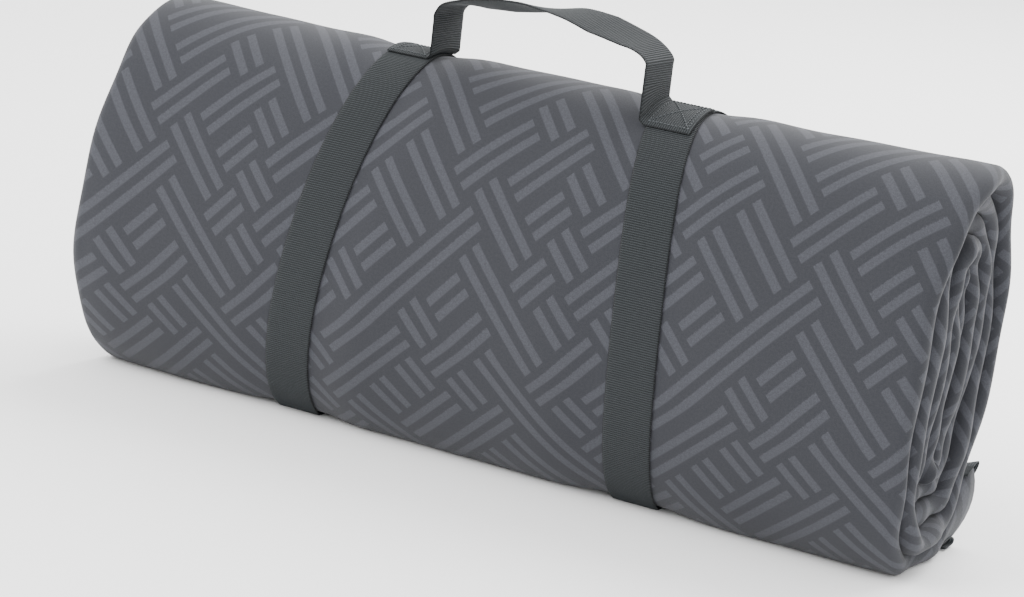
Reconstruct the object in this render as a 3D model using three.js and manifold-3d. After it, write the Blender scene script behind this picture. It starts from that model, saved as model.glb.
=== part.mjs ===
// Camp blanket, sides folded in, rolled and held by two webbing straps with a carry handle.
// Millimetres, +X along the roll, -Y the front, +Z up. The roll stands on its straps.
import * as THREE from 'three';
import { mergeVertices } from 'three/addons/utils/BufferGeometryUtils.js';
import Module from 'manifold-3d';

const wasm = await Module();
wasm.setup();

// ---- Driving dimensions -------------------------------------------------------------
const ROLL_LENGTH = 685;        // width of the blanket with its sides folded in, along X
const ROLL_HEIGHT = 289;        // long axis of the oval section
const ROLL_DEPTH = 160;         // short axis of the oval section
const LEAN = THREE.MathUtils.degToRad(5.7);   // the roll slumps back by this much
const FLAT_FOOT = 6;            // how far the underside is pressed flat
const OUTER_POWER = 2.08;       // superellipse power of the outer turn
const CORE_POWER = 3.0;         // the inner turns are flatter and squarer

const FACE = 1.2;               // printed face cloth
const WADDING = 5.0;            // one leaf's filling
const BACKING = 1.6;            // backing cloth, lying double inside the fold
const PLY_GAP = 0.3;            // between the plies of one turn
const TURN_GAP = 0.4;           // between one turn and the next
const CORE_TURN = 0.9;          // the core's end lies this part of a turn on from the inner leaf's end
const CORE_REACH = 0.3;         // the innermost turn may reach this far past the roll's middle
const STEPS_PER_TURN = 32;
const OVAL_STEPS = 720;         // samples round the oval when its lowest point is looked for
const STEP_SHARPNESS = 5;       // how suddenly a turn steps over the end of the one inside it
const INNER_LEAF_END = THREE.MathUtils.degToRad(-33);   // where the inner leaf ends, low at the back
const OUTER_LEAF_SHORT = 2;     // the outer leaf ends this many steps before the inner one

const TAPE = 1.2;               // binding tape thickness
const FLAP_GAP = 8;             // between the two flaps' bound edges, halfway along the roll
const END_TAPE_WIDTH = 5;       // binding tape shown past each leaf's end

const WEBBING_WIDTH = 38;
const WEBBING = 1.6;            // webbing thickness
const LAY_GAP = 0.3;            // between stacked cloth and webbing
const LEFT_STRAP = { top: -114, spread: -49, bow: -3 };    // centre at the top, extra at the bottom, bow
const RIGHT_STRAP = { top: 111, spread: 17, bow: 13 };
const STRAP_STEPS = 64;
const BRIDGE_START = 0.9;       // part of a turn where a strap leaves the roll to bridge the leaf ends

const HANDLE_BACK = 9;          // Y of the handle's left root, from the middle of the roll
const HANDLE_FRONT = -9;        // Y of its right root
const HANDLE_RISE = 62;         // top of the arch above the roll
const LEG_DROP = 29;            // the legs stay straight up to this far below the arch's top
const ARCH = [                  // the arch: share of half the span, and drop below the arch's top
  [-0.98, 23], [-0.885, 16], [-0.42, 7], [0.18, 1.6], [0.68, 6], [0.947, 15],
];
const LEG_CLEARANCE = 3;        // between a leg's round end and the roll
const ARCH_STEPS = 48;
const LEG_STEPS = 6;
const PATCH_STEPS = 8;          // facets across a sewn patch
const ROUND_END_STEPS = 16;
const STUB_CLEARANCE = 0.5;     // the stub of leg starts this far above the patch's underside
const HALVINGS = 40;            // bisections when a height over the roll is looked for
const SEAM = 0.5;               // height of a row of stitches
const SEAM_WIDTH = 1.2;
const SEAM_INSET = 3.5;         // from the edge of the webbing

const PAD = 1.5;                // hook pad or loop pad thickness
const PAD_WIDTH = 34;
const TAIL_TOP = THREE.MathUtils.degToRad(18);      // hinge line of a strap's tail, up the back
const TAIL_END = THREE.MathUtils.degToRad(-17);
const PAD_MARGIN = THREE.MathUtils.degToRad(3);     // pads stop short of the tail's two ends
const TACK_LENGTH = THREE.MathUtils.degToRad(8);
const TACK_CLEARANCE = THREE.MathUtils.degToRad(1);
const TAIL_STEPS = 12;
const TACK_STEPS = 4;

const COLOURS = {
  print: 0x62656c, wadding: 0xb9b8b2, backing: 0x3a3d42, tape: 0x4b4f55,
  webbing: 0x4c5357, thread: 0x5b6165, pad: 0x3f4549,
};

// ---- Plies of one turn, measured inwards from the turn's outer surface ---------------
const OUTER_WADDING = FACE + PLY_GAP;
const BACKING_AT = OUTER_WADDING + WADDING + PLY_GAP;
const INNER_WADDING = BACKING_AT + BACKING + PLY_GAP;
const INNER_FACE = INNER_WADDING + WADDING + PLY_GAP;
const TURN_THICKNESS = INNER_FACE + FACE;
const PITCH = TURN_THICKNESS + TURN_GAP;
const OUTER_LEAF_EDGE = OUTER_WADDING + WADDING;
const FLAP_EDGE = FLAP_GAP / 2 + TAPE + LAY_GAP;

// ---- The oval spiral -----------------------------------------------------------------
const signedPower = (value, power) => Math.sign(value) * Math.abs(value) ** power;
const between = (from, to, steps) =>
  Array.from({ length: steps + 1 }, (_, i) => from + (to - from) * i / steps);

/** How deep the outer surface lies after so many turns, inwards from the inner leaf's end. */
function turnDepth(turns) {
  const whole = Math.floor(turns);
  const across = 2 * (turns - whole) - 1;
  return PITCH * (whole + 0.5 * signedPower(across, STEP_SHARPNESS));
}

/** As many turns as fill the oval to its middle. */
const ROOM = ROLL_DEPTH / 2 + CORE_REACH - TURN_THICKNESS - turnDepth(CORE_TURN);
const TURNS = CORE_TURN + Math.floor(ROOM / PITCH);

/** Lowest point of the leaning outer oval, before the foot is pressed flat. */
function lowestPoint() {
  const heights = between(0, 2 * Math.PI, OVAL_STEPS).map((angle) => leaning(0, angle)[1]);
  return Math.min(...heights);
}

/** Point of the leaning oval that lies `depth` inside the outer one, as [y, z]. */
function leaning(depth, angle) {
  const power = OUTER_POWER + (CORE_POWER - OUTER_POWER) * Math.max(0, depth) / (ROLL_DEPTH / 2);
  const across = (ROLL_DEPTH / 2 - depth) * signedPower(Math.cos(angle), 2 / power);
  const up = (ROLL_HEIGHT / 2 - depth) * signedPower(Math.sin(angle), 2 / power);
  return [
    across * Math.cos(LEAN) + up * Math.sin(LEAN),
    up * Math.cos(LEAN) - across * Math.sin(LEAN),
  ];
}

const FOOT_LEVEL = lowestPoint() + FLAT_FOOT;

/** The same point with the underside pressed flat, each turn parallel to the outer one. */
function section(depth, angle) {
  const [y, z] = leaning(depth, angle);
  const turns = angleTurns(angle);
  return [y, Math.max(z, FOOT_LEVEL + depth - turnDepth(turns - Math.floor(turns)))];
}

/** Depth of the surface that a strap lies on: the outer turn, bridged over the leaf ends. */
function strapDepth(turns) {
  const part = turns - Math.floor(turns);
  if (part <= BRIDGE_START) return turnDepth(part);
  const along = (part - BRIDGE_START) / (1 - BRIDGE_START);
  const ease = along * along * (3 - 2 * along);
  return turnDepth(BRIDGE_START) * (1 - ease) + turnDepth(0) * ease;
}

const turnAngle = (turns) => INNER_LEAF_END - 2 * Math.PI * turns;
const angleTurns = (angle) => (INNER_LEAF_END - angle) / (2 * Math.PI);

// ---- Solids ----------------------------------------------------------------------------
/** Closed mesh swept through stations, each a list of [x, y, z] with the same outline. */
function sweep(stations, outline, closed = false) {
  const size = outline.length;
  const positions = stations.flat(2);
  const indices = [];
  const count = closed ? stations.length : stations.length - 1;
  for (let i = 0; i < count; i++) {
    const here = i * size;
    const next = (i + 1) % stations.length * size;
    for (let j = 0; j < size; j++) {
      const k = (j + 1) % size;
      indices.push(here + j, here + k, next + k, here + j, next + k, next + j);
    }
  }
  if (!closed) {
    const last = (stations.length - 1) * size;
    const corners = outline.map(([x, y]) => new THREE.Vector2(x, y));
    for (const [a, b, c] of THREE.ShapeUtils.triangulateShape(corners, [])) {
      indices.push(a, c, b, last + a, last + b, last + c);
    }
  }
  const geometry = new THREE.BufferGeometry();
  geometry.setAttribute('position', new THREE.Float32BufferAttribute(positions, 3));
  geometry.setIndex(indices);
  return facingOut(geometry);
}

/** Turns every triangle round if the mesh's volume comes out negative. */
function facingOut(geometry) {
  const at = geometry.getAttribute('position');
  const index = geometry.getIndex();
  const corner = [new THREE.Vector3(), new THREE.Vector3(), new THREE.Vector3()];
  let volume = 0;
  for (let i = 0; i < index.count; i += 3) {
    corner.forEach((point, j) => point.fromBufferAttribute(at, index.getX(i + j)));
    volume += corner[0].dot(corner[1].cross(corner[2]));
  }
  if (volume < 0) {
    const turned = [];
    for (let i = 0; i < index.count; i += 3) {
      turned.push(index.getX(i), index.getX(i + 2), index.getX(i + 1));
    }
    geometry.setIndex(turned);
  }
  return geometry;
}

/** Manifold solid from a closed geometry. */
function solid(geometry) {
  const bare = geometry.clone();
  bare.deleteAttribute('normal');
  bare.deleteAttribute('uv');
  const merged = mergeVertices(bare, 1e-4);
  return new wasm.Manifold(new wasm.Mesh({
    numProp: 3,
    vertProperties: new Float32Array(merged.getAttribute('position').array),
    triVerts: new Uint32Array(merged.getIndex().array),
  }));
}

/** Geometry from a manifold solid. */
function geometryOf(body) {
  const mesh = body.getMesh();
  const geometry = new THREE.BufferGeometry();
  geometry.setAttribute('position', new THREE.BufferAttribute(new Float32Array(mesh.vertProperties), 3));
  geometry.setIndex(new THREE.BufferAttribute(new Uint32Array(mesh.triVerts), 1));
  return geometry;
}

/** A ply of the rolled stack: an outline of [x, depth into the turn] swept between two turn counts. */
function ply(outline, fromTurns, toTurns) {
  const first = Math.ceil(fromTurns * STEPS_PER_TURN - 1e-6);
  const last = Math.floor(toTurns * STEPS_PER_TURN + 1e-6);
  const counts = [];
  if (first / STEPS_PER_TURN > fromTurns + 1e-6) counts.push(fromTurns);
  for (let i = first; i <= last; i++) counts.push(i / STEPS_PER_TURN);
  if (last / STEPS_PER_TURN < toTurns - 1e-6) counts.push(toTurns);
  const stations = counts.map((turns) => outline.map(([x, inward]) =>
    [x, ...section(turnDepth(turns) + inward, turnAngle(turns))]));
  return sweep(stations, outline);
}

const rectangle = (x0, x1, outer, inner) => [[x0, outer], [x1, outer], [x1, inner], [x0, inner]];

/** Outline of a ply folded in at both ends: one long leaf, and two flaps that nearly meet under it. */
function foldedOutline(reach, outer, inner, thickness) {
  const half = (side) => [
    [side * reach, outer], [side * reach, inner], [side * FLAP_EDGE, inner],
    [side * FLAP_EDGE, inner - thickness], [side * (reach - thickness), inner - thickness],
    [side * (reach - thickness), outer + thickness],
  ];
  return [...half(1), ...half(-1).reverse()];
}

/** Folded ply whose long leaf ends a little before its two flaps. */
function foldedPly(reach, outer, inner, thickness) {
  const start = OUTER_LEAF_SHORT / STEPS_PER_TURN;
  const folded = ply(foldedOutline(reach, outer, inner, thickness), start, TURNS);
  const flap = (x0, x1) =>
    solid(ply(rectangle(x0, x1, inner - thickness, inner), 0, start + 1 / STEPS_PER_TURN));
  return geometryOf(solid(folded).add(flap(FLAP_EDGE, reach)).add(flap(-reach, -FLAP_EDGE)));
}

/** Height above the section's middle of a strap's top and bottom, for its slant. */
const STRAP_HIGH = section(strapDepth(angleTurns(-1.5 * Math.PI)), Math.PI / 2)[1];
const strapCentre = (strap, z) => {
  const down = THREE.MathUtils.clamp((STRAP_HIGH - z) / (STRAP_HIGH - FOOT_LEVEL), 0, 1);
  return strap.top + strap.spread * down + 4 * strap.bow * down * (1 - down);
};

/** A layer over the roll that follows a strap, between two heights outside the strap's bed. */
function strapLayer(strap, width, low, high, angles, closed = false) {
  const stations = angles.map((angle) => {
    const depth = strapDepth(angleTurns(angle));
    const inner = section(depth - low, angle);
    const outer = section(depth - high, angle);
    const x0 = strapCentre(strap, inner[1]) - width / 2;
    return [[x0, ...inner], [x0 + width, ...inner], [x0 + width, ...outer], [x0, ...outer]];
  });
  return sweep(stations, rectangle(0, width, 0, high - low), closed);
}

/** Solid from an outline of [u, v] pushed along the third axis; place(u, v, w) gives [x, y, z]. */
function prism(outline, w0, w1, place) {
  return sweep([w0, w1].map((w) => outline.map(([u, v]) => place(u, v, w))), outline);
}

// ---- Stack heights of the layers over the roll --------------------------------------------
const STRAP_LOW = LAY_GAP;
const STRAP_TOP = STRAP_LOW + WEBBING;
const SECOND_LOW = STRAP_TOP + LAY_GAP;
const SECOND_TOP = SECOND_LOW + WEBBING;
const LOOP_TOP = SECOND_LOW + PAD;
const HOOK_LOW = LOOP_TOP + LAY_GAP;
const HOOK_TOP = HOOK_LOW + PAD;
const TAIL_LOW = HOOK_TOP + LAY_GAP;
const TAIL_OUTSIDE = TAIL_LOW + WEBBING;

// ---- Group and materials ---------------------------------------------------------------
const blanket = new THREE.Group();

function add(name, geometry, colour, roughness = 0.95) {
  const flat = geometry.index ? geometry.toNonIndexed() : geometry;
  flat.computeVertexNormals();
  const material = new THREE.MeshStandardMaterial({ color: colour, roughness, metalness: 0 });
  const mesh = new THREE.Mesh(flat, material);
  mesh.name = name;
  blanket.add(mesh);
}

// ---- The rolled blanket ------------------------------------------------------------------
function addBlanket() {
  const reach = ROLL_LENGTH / 2;
  add('printed_face', foldedPly(reach, 0, TURN_THICKNESS, FACE), COLOURS.print);
  const inset = FACE + PLY_GAP;
  add('wadding', foldedPly(reach - inset, OUTER_WADDING, INNER_WADDING + WADDING, WADDING), COLOURS.wadding);
  const backingReach = reach - inset - WADDING - PLY_GAP;
  const backing = rectangle(-backingReach, backingReach, BACKING_AT, BACKING_AT + BACKING);
  add('backing', ply(backing, OUTER_LEAF_SHORT / STEPS_PER_TURN, TURNS), COLOURS.backing);
}

/** Binding tape down the inner edge of each flap, and over the ends of the leaf and the flaps. */
function addBindings() {
  const reach = ROLL_LENGTH / 2;
  const slit = FLAP_GAP / 2;
  const flap = (x0, x1) => rectangle(x0, x1, INNER_WADDING, TURN_THICKNESS);
  add('side_binding_left', ply(flap(-slit - TAPE, -slit), 0, TURNS), COLOURS.tape);
  add('side_binding_right', ply(flap(slit, slit + TAPE), 0, TURNS), COLOURS.tape);

  const turnLength = Math.PI * (ROLL_HEIGHT + ROLL_DEPTH) / 2;
  const gap = LAY_GAP / turnLength;
  const width = END_TAPE_WIDTH / turnLength;
  const outerEnd = OUTER_LEAF_SHORT / STEPS_PER_TURN - gap;
  const leaf = rectangle(-reach, reach, 0, OUTER_LEAF_EDGE);
  add('end_binding_leaf', ply(leaf, outerEnd - width, outerEnd), COLOURS.tape);
  add('end_binding_left_flap', ply(flap(-reach, -FLAP_EDGE), -gap - width, -gap), COLOURS.tape);
  add('end_binding_right_flap', ply(flap(FLAP_EDGE, reach), -gap - width, -gap), COLOURS.tape);
  const coreGap = LAY_GAP / (ROLL_HEIGHT / 2);
  const coreWidth = END_TAPE_WIDTH / ROLL_HEIGHT;
  add('core_end_binding', ply(rectangle(-reach, reach, 0, TURN_THICKNESS),
    TURNS + coreGap, TURNS + coreGap + coreWidth), COLOURS.tape);
}

// ---- Straps and their closures --------------------------------------------------------------
function addStrap(side, strap) {
  const round = between(INNER_LEAF_END, INNER_LEAF_END - 2 * Math.PI, STRAP_STEPS).slice(0, STRAP_STEPS);
  add(`${side}_strap`, strapLayer(strap, WEBBING_WIDTH, STRAP_LOW, STRAP_TOP, round, true), COLOURS.webbing);

  const padAngles = between(TAIL_TOP - PAD_MARGIN, TAIL_END + PAD_MARGIN, TAIL_STEPS);
  const tailAngles = between(TAIL_TOP, TAIL_END, TAIL_STEPS);
  const tackLow = TAIL_TOP + TACK_CLEARANCE;
  const tackAngles = between(tackLow + TACK_LENGTH, tackLow, TACK_STEPS);
  const pad = (low, high) => strapLayer(strap, PAD_WIDTH, low, high, padAngles);
  const webbing = (low, high, angles) => strapLayer(strap, WEBBING_WIDTH, low, high, angles);
  add(`${side}_loop_pad`, pad(SECOND_LOW, LOOP_TOP), COLOURS.pad);
  add(`${side}_hook_pad`, pad(HOOK_LOW, HOOK_TOP), COLOURS.pad);
  add(`${side}_strap_tail`, webbing(TAIL_LOW, TAIL_OUTSIDE, tailAngles), COLOURS.webbing);
  add(`${side}_tail_tack`, webbing(SECOND_LOW, SECOND_TOP, tackAngles), COLOURS.webbing);
}

// ---- Handle -------------------------------------------------------------------------------------
const LEFT_ROOT = LEFT_STRAP.top + WEBBING_WIDTH / 2;
const RIGHT_ROOT = RIGHT_STRAP.top - WEBBING_WIDTH / 2;
const ROOT_SPAN = RIGHT_ROOT - LEFT_ROOT;
const SKEW = Math.atan2(HANDLE_FRONT - HANDLE_BACK, ROOT_SPAN);
const HANDLE_SPAN = ROOT_SPAN / Math.cos(SKEW);
const MIDDLE = new THREE.Vector2((LEFT_ROOT + RIGHT_ROOT) / 2, (HANDLE_BACK + HANDLE_FRONT) / 2);

/** Handle frame to object frame: along the handle, across it, up. */
function handlePoint(along, across, up) {
  const x = MIDDLE.x + along * Math.cos(SKEW) - across * Math.sin(SKEW);
  const y = MIDDLE.y + along * Math.sin(SKEW) + across * Math.cos(SKEW);
  return [x, y, up];
}

/** Height of the roll's top at a given Y, raised by so much. */
function topHeight(y, raised) {
  let low = 0;
  let high = Math.PI;
  for (let i = 0; i < HALVINGS; i++) {
    const middle = (low + high) / 2;
    const depth = strapDepth(angleTurns(middle - 2 * Math.PI)) - raised;
    if (section(depth, middle)[0] > y) low = middle;
    else high = middle;
  }
  return section(strapDepth(angleTurns(low - 2 * Math.PI)) - raised, low)[1];
}

const ROLL_TOP = topHeight(ROLL_HEIGHT / 2 * Math.sin(LEAN), 0);
const HINGE_HEIGHT = ROLL_TOP + LEG_CLEARANCE + WEBBING_WIDTH / 2;
const ARCH_TOP = ROLL_TOP + HANDLE_RISE;

/** Sewn end of the handle: a patch lying over the strap, turned up into a short stub of leg. */
function addHandleEnd(side, direction) {
  const half = WEBBING_WIDTH / 2;
  const root = direction * HANDLE_SPAN / 2;
  const across = between(-half, half, PATCH_STEPS);
  const edge = (v) => handlePoint(root, v, 0);
  const surface = (v, raised) => topHeight(edge(v)[1], raised);
  const layer = (low, high) => {
    const under = across.map((v) => [v, surface(v, low)]);
    const over = across.map((v) => [v, surface(v, high)]).reverse();
    return [...under, ...over];
  };
  const farEdge = edge(0)[0] + direction * WEBBING_WIDTH;
  const overStrap = (v, up, far) => [far ? farEdge : edge(v)[0], edge(v)[1], up];
  const patch = solid(prism(layer(SECOND_LOW, SECOND_TOP), 0, 1, overStrap));
  const stubOutline = [
    ...across.map((v) => [v, surface(v, SECOND_LOW + STUB_CLEARANCE)]),
    [half, HINGE_HEIGHT], [-half, HINGE_HEIGHT],
  ];
  const stub = solid(prism(stubOutline, root, root + direction * WEBBING,
    (v, up, along) => handlePoint(along, v, up)));
  add(`handle_${side}_end`, geometryOf(patch.add(stub)), COLOURS.webbing);

  const seamLow = SECOND_TOP + LAY_GAP;
  const sheet = solid(prism(layer(seamLow, seamLow + SEAM), 0, 1, overStrap));
  const middle = edge(0)[0] + direction * (WEBBING_WIDTH + WEBBING) / 2;
  const seam = sheet.intersect(boxStitch(middle, edge(0)[1]));
  add(`handle_${side}_stitching`, geometryOf(seam), COLOURS.thread);
}

/** A tall box-and-cross of stitch rows, centred on the patch clear of the leg. */
function boxStitch(x, y) {
  const wide = (WEBBING_WIDTH - WEBBING) / 2 - SEAM_INSET;
  const deep = WEBBING_WIDTH / 2 - SEAM_INSET;
  const corners = [[x - wide, y - deep], [x + wide, y - deep], [x + wide, y + deep], [x - wide, y + deep]];
  const rows = corners.map((corner, i) => [corner, corners[(i + 1) % 4]]);
  rows.push([corners[0], corners[2]], [corners[1], corners[3]]);
  return rows.map(([from, to]) => seamRow(from, to)).reduce((whole, row) => whole.add(row));
}

/** One straight row of stitches as a tall thin wall. */
function seamRow([x0, y0], [x1, y1]) {
  const length = Math.hypot(x1 - x0, y1 - y0);
  const side = [-(y1 - y0) / length * SEAM_WIDTH / 2, (x1 - x0) / length * SEAM_WIDTH / 2];
  const end = [(x1 - x0) / length * SEAM_WIDTH / 2, (y1 - y0) / length * SEAM_WIDTH / 2];
  const outline = [
    [x0 - end[0] - side[0], y0 - end[1] - side[1]], [x1 + end[0] - side[0], y1 + end[1] - side[1]],
    [x1 + end[0] + side[0], y1 + end[1] + side[1]], [x0 - end[0] + side[0], y0 - end[1] + side[1]],
  ];
  return solid(prism(outline, ROLL_TOP - WEBBING_WIDTH, ROLL_TOP + WEBBING_WIDTH, (u, v, up) => [u, v, up]));
}

/** The part of the handle that a hand lifts: two legs with round lower ends, and the arch. */
function addHandleGrip() {
  const leg = HANDLE_SPAN / 2 - LAY_GAP - WEBBING / 2;
  const legHeights = between(ROLL_TOP, ARCH_TOP - LEG_DROP, LEG_STEPS);
  const line = new THREE.CatmullRomCurve3([
    ...legHeights.map((z) => [-leg, z]),
    ...ARCH.map(([share, drop]) => [share * leg, ARCH_TOP - drop]),
    ...legHeights.map((z) => [leg, z]).reverse(),
  ].map(([x, z]) => new THREE.Vector3(x, 0, z)), false, 'centripetal');
  const half = WEBBING_WIDTH / 2;
  const points = line.getPoints(ARCH_STEPS);
  const stations = points.map((point, i) => {
    const before = points[Math.max(i - 1, 0)];
    const after = points[Math.min(i + 1, points.length - 1)];
    const along = after.clone().sub(before).normalize().multiplyScalar(WEBBING / 2);
    const outside = [point.x - along.z, point.z + along.x];
    const inside = [point.x + along.z, point.z - along.x];
    return [[outside, -half], [outside, half], [inside, half], [inside, -half]]
      .map(([[x, z], across]) => handlePoint(x, across, z));
  });
  const band = solid(sweep(stations, rectangle(0, WEBBING_WIDTH, 0, WEBBING)));
  const roundEnd = between(Math.PI, 2 * Math.PI, ROUND_END_STEPS)
    .map((angle) => [half * Math.cos(angle), HINGE_HEIGHT + half * Math.sin(angle)]);
  const wide = half + WEBBING;
  const high = ARCH_TOP + WEBBING_WIDTH;
  const mask = [...roundEnd, [wide, HINGE_HEIGHT], [wide, high], [-wide, high], [-wide, HINGE_HEIGHT]];
  const cut = solid(prism(mask, -HANDLE_SPAN, HANDLE_SPAN, (v, up, along) => handlePoint(along, v, up)));
  add('handle_grip', geometryOf(band.intersect(cut)), COLOURS.webbing);
}

addBlanket();
addBindings();
addStrap('left', LEFT_STRAP);
addStrap('right', RIGHT_STRAP);
addHandleEnd('left', -1);
addHandleEnd('right', 1);
addHandleGrip();

// The origin is the middle of the whole object's underside.
blanket.updateMatrixWorld(true);
const bounds = new THREE.Box3().setFromObject(blanket, true);
const centre = bounds.getCenter(new THREE.Vector3());
blanket.position.set(-centre.x, -centre.y, -bounds.min.z);

export default blanket;
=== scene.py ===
"""Camp blanket, its sides folded in, rolled and held by two webbing straps that carry a handle."""
import math

import bpy
import numpy as np
from mathutils import Matrix, Vector


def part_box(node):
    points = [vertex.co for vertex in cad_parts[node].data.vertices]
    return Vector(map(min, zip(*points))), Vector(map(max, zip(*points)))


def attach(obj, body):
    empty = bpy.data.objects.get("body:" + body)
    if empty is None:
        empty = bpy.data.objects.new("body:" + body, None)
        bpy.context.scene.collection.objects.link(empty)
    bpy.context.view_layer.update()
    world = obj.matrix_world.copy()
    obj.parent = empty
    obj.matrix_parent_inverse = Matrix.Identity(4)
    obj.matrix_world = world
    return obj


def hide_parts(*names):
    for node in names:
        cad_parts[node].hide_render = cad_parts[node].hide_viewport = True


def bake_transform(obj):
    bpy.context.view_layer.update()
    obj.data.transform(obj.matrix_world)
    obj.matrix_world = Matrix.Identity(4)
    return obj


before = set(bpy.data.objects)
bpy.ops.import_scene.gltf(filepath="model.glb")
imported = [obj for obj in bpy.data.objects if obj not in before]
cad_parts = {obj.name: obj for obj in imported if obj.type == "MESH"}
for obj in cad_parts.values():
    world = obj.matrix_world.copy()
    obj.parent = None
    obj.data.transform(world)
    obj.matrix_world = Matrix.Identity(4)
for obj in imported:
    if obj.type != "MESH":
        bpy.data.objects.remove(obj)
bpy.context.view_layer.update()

# ---- Sizes of the roll, in metres, the same as the CAD's --------------------------------------
ROLL_HEIGHT = 0.289
ROLL_DEPTH = 0.160
LEAN = math.radians(5.7)
FLAT_FOOT = 0.006
OUTER_POWER = 2.08
CORE_POWER = 3.0
STACK = 0.0152            # one turn: two padded leaves
PITCH = 0.0156            # one turn and the gap to the next
LEAF = 0.0065             # one padded leaf
TURNS = 4.9
STEP_SHARPNESS = 5
INNER_LEAF_END = math.radians(-33)
OUTER_LEAF_SHORT = 2 / 32
BRIDGE_START = 0.9
CLOTH = 0.0011            # printed face and backing cloth
TAPE = 0.0009
WADDING_CLEARANCE = 0.0014  # between the face cloth and the wadding
WADDING_SHORT = 0.024     # the wadding stops this far before the leaf ends, in turns
FLAP_EDGE = 0.0055        # the two flaps stop this far from the middle of the roll

WEBBING_WIDTH = 0.038
WEBBING = 0.0016
LAY_GAP = 0.0003
RIB_PITCH = 0.0017
LEFT_STRAP = {"top": -0.114, "spread": -0.049, "bow": -0.003}
RIGHT_STRAP = {"top": 0.111, "spread": 0.017, "bow": 0.013}
SECOND_LAYER = 2 * LAY_GAP + 1.5 * WEBBING      # middle of webbing that lies on a strap
TAIL_LAYER = 0.0067                              # middle of a strap's tail, over its two pads

HANDLE_BACK = 0.009
HANDLE_FRONT = -0.009
HANDLE_RISE = 0.062
LEG_DROP = 0.029

# ---- How the soft goods differ from the plain solids -------------------------------------------
BULGE = 0.0034            # the padding stands this proud between the straps
BULGE_REACH = 0.024       # and comes up over this distance beside a strap
UNDULATION = 0.0013
LIP = 0.010               # how far a bound leaf end curls away from the roll
LIP_TURNS = 0.055
CORNER_REACH = 0.075      # the bound corners at the right end are turned out over this much
CORNER_CURL = 0.012
CORNER_RISE = 0.022       # and stand this much further up the back, in turns
GAPE = 0.006              # the outer turn stands off the next one at the top of the right end
GAPE_PLACE = 0.72         # in turns
LEFT_SLUMP = 0.006        # the front of the left end sags outwards by this much
WARP = 0.0042             # the turns wander by this much inside the roll
FOOT_EASE = 0.0025
END_EASE = 0.032          # the outer leaf drops a little over this much before each end
END_DROP = 0.0018

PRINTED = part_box("printed_face")
MIDDLE_X = (PRINTED[0][0] + PRINTED[1][0]) / 2
LEFT_END = PRINTED[0][0]
RIGHT_END = PRINTED[1][0]


# ---- The oval spiral ---------------------------------------------------------------------------
def signed_power(value, power):
    return np.sign(value) * np.abs(value) ** power


def turn_angle(turns):
    return INNER_LEAF_END - 2 * math.pi * turns


def angle_turns(angle):
    return (INNER_LEAF_END - angle) / (2 * math.pi)


def turn_depth(turns):
    whole = np.floor(turns)
    return PITCH * (whole + 0.5 * signed_power(2 * (turns - whole) - 1, STEP_SHARPNESS))


def leaning(depth, angle):
    power = OUTER_POWER + (CORE_POWER - OUTER_POWER) * np.maximum(0, depth) / (ROLL_DEPTH / 2)
    across = (ROLL_DEPTH / 2 - depth) * signed_power(np.cos(angle), 2 / power)
    up = (ROLL_HEIGHT / 2 - depth) * signed_power(np.sin(angle), 2 / power)
    return (across * math.cos(LEAN) + up * math.sin(LEAN), up * math.cos(LEAN) - across * math.sin(LEAN))


ROUND = np.linspace(0, 2 * math.pi, 721)
OVAL_Y, OVAL_Z = leaning(np.zeros(721), ROUND)
FOOT_LEVEL = OVAL_Z.min() + FLAT_FOOT
MIDDLE_Y = PRINTED[0][1] - OVAL_Y.min()
MIDDLE_Z = PRINTED[1][2] - OVAL_Z.max()


def oval(depth, angle, ease=0.0):
    """Point (y, z) of the turn's oval, with the foot pressed flat."""
    y, z = leaning(depth, angle)
    turns = angle_turns(angle)
    floor = FOOT_LEVEL + depth - turn_depth(turns - np.floor(turns))
    over = z - floor
    z = floor + (over + np.sqrt(over * over + ease * ease)) / 2
    return y + MIDDLE_Y, z + MIDDLE_Z


def strap_depth(angle):
    """Depth of the surface that a strap lies on: the outer turn, bridged over the leaf ends."""
    turns = angle_turns(angle)
    part = turns - np.floor(turns)
    along = np.clip((part - BRIDGE_START) / (1 - BRIDGE_START), 0, 1)
    ease = along * along * (3 - 2 * along)
    return turn_depth(np.minimum(part, BRIDGE_START)) * (1 - ease) + turn_depth(np.zeros(1))[0] * ease


STRAP_Z = oval(strap_depth(ROUND), ROUND)[1]
STRAP_HIGH = STRAP_Z.max()
STRAP_LOW = FOOT_LEVEL + MIDDLE_Z


def strap_x(strap, angle):
    """X of a strap's centre where it passes this angle of the oval."""
    z = oval(strap_depth(angle), angle)[1]
    down = np.clip((STRAP_HIGH - z) / (STRAP_HIGH - STRAP_LOW), 0, 1)
    return MIDDLE_X + strap["top"] + strap["spread"] * down + 4 * strap["bow"] * down * (1 - down)


# ---- The padded blanket's soft shape -----------------------------------------------------------
def clear_of_straps(x, angle):
    """0 under a strap, rising to 1 away from both."""
    free = 1.0
    for strap in (LEFT_STRAP, RIGHT_STRAP):
        gap = np.maximum(np.abs(x - strap_x(strap, angle)) - WEBBING_WIDTH / 2, 0)
        free = free * (1 - np.exp(-(gap / BULGE_REACH) ** 2))
    return free


def swell(x, angle, depth):
    """How far the surface stands outside the plain oval."""
    free = clear_of_straps(x, angle)
    slow = np.sin(x / 0.031 + 1.7 * np.sin(angle)) * np.sin(2 * angle + 0.8)
    quick = np.sin(x / 0.017 - 2.2 * angle + 0.5) * np.sin(3 * angle + x / 0.05)
    out = free * (BULGE + UNDULATION * slow + 0.4 * UNDULATION * quick)
    end = np.clip((np.abs(x) - RIGHT_END + END_EASE) / END_EASE, 0, 1)
    out = out - END_DROP * end ** 2
    return out * np.exp(-np.maximum(depth, 0) / 0.03)


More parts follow.
